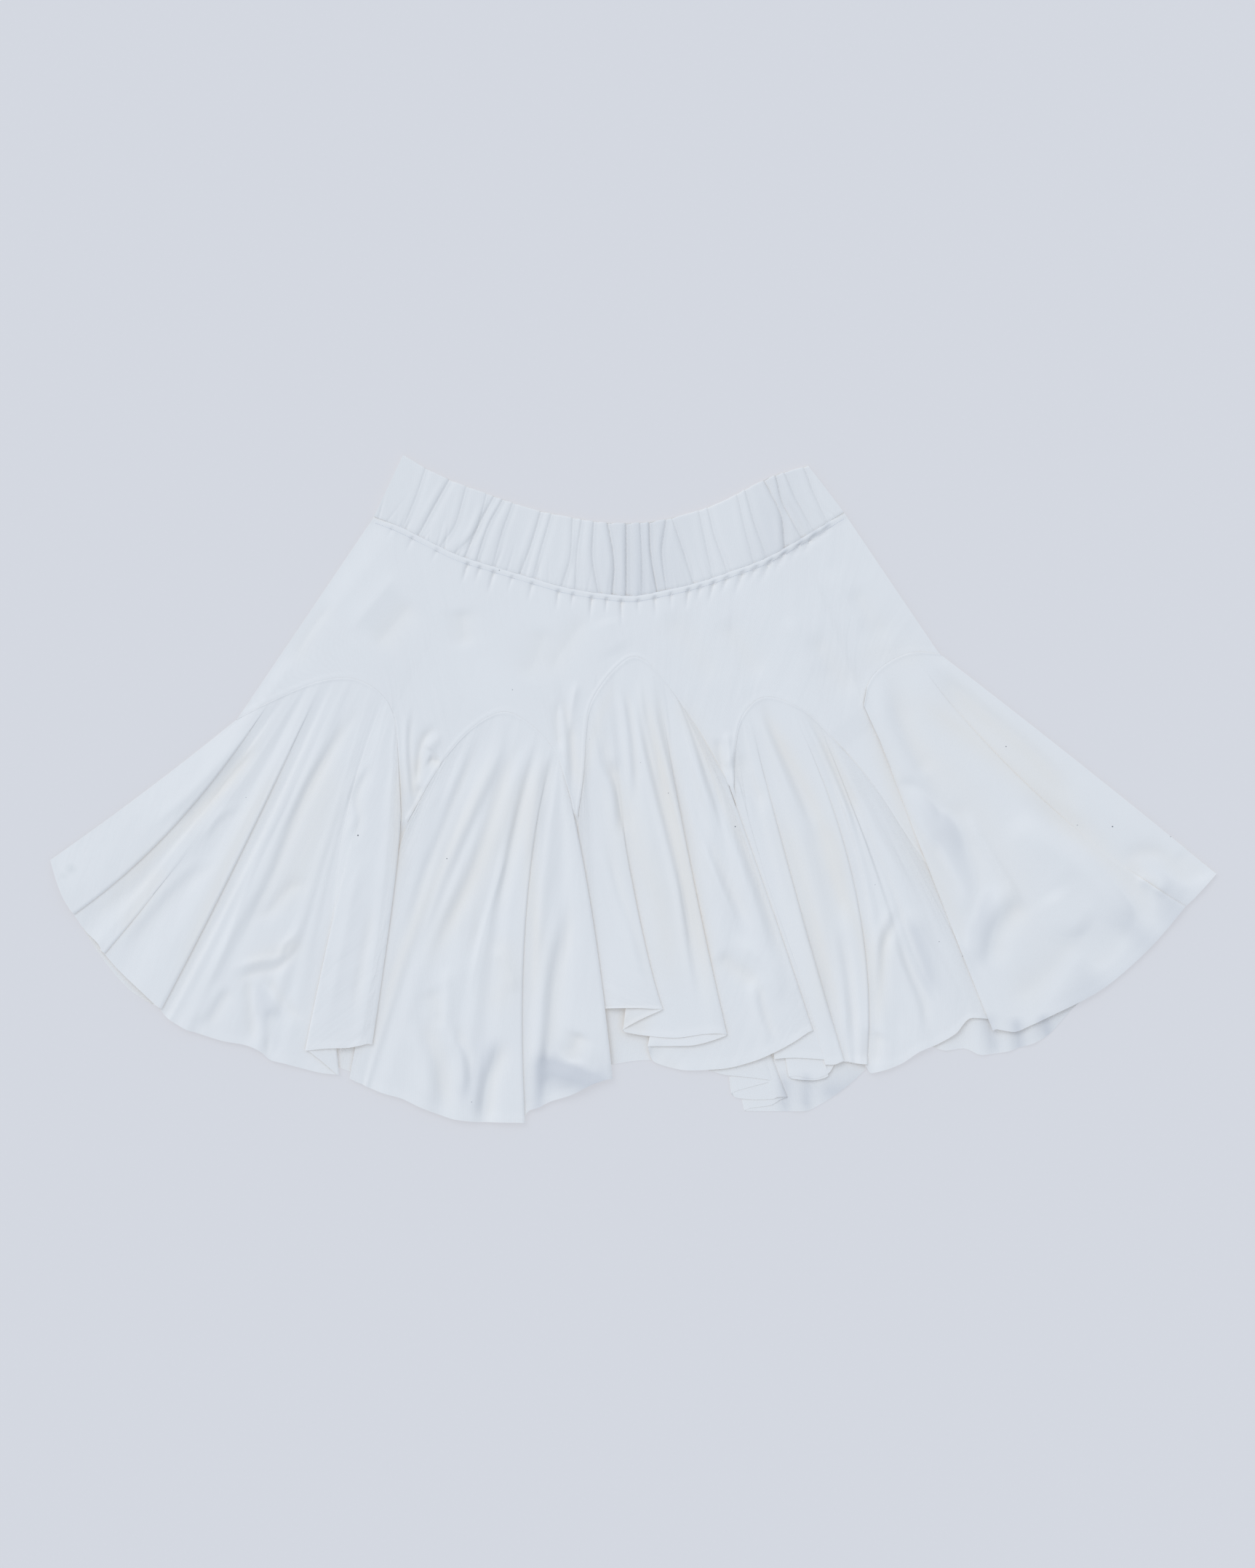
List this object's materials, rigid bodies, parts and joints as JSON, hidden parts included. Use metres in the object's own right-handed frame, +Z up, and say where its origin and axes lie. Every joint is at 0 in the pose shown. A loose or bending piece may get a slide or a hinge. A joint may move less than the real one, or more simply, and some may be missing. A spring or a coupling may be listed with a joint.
{
  "type": "flared skirt, laid flat",
  "caption": "Short flared skirt of white jersey laid flat: gathered elastic waistband, scalloped yoke and folded flared godets with a raw hem.",
  "frame": {"origin": "centre of the bounding box in plan, at the height of the surface that the skirt lies on", "axes": "+X across the skirt to the right as pictured, along its widest extent; +Y up the skirt to the waist; +Z up, out of the surface, which is its shortest extent"},
  "size_m": [0.801, 0.459, 0.0081],
  "materials": {
    "cloth": "matte",
    "inner_cloth": "matte",
    "waistband": "matte"
  },
  "bodies": {
    "root": {"waistband_front": "waistband", "waistband_back": "waistband", "yoke_front": "cloth", "yoke_back": "inner_cloth", "godet_front_1": "cloth", "godet_front_2": "cloth", "godet_front_3": "cloth", "godet_front_4": "cloth", "godet_front_5": "cloth", "godet_back_1": "inner_cloth", "godet_back_2": "inner_cloth", "godet_back_3": "inner_cloth", "godet_back_4": "inner_cloth", "godet_back_5": "inner_cloth"}
  },
  "joints": []
}
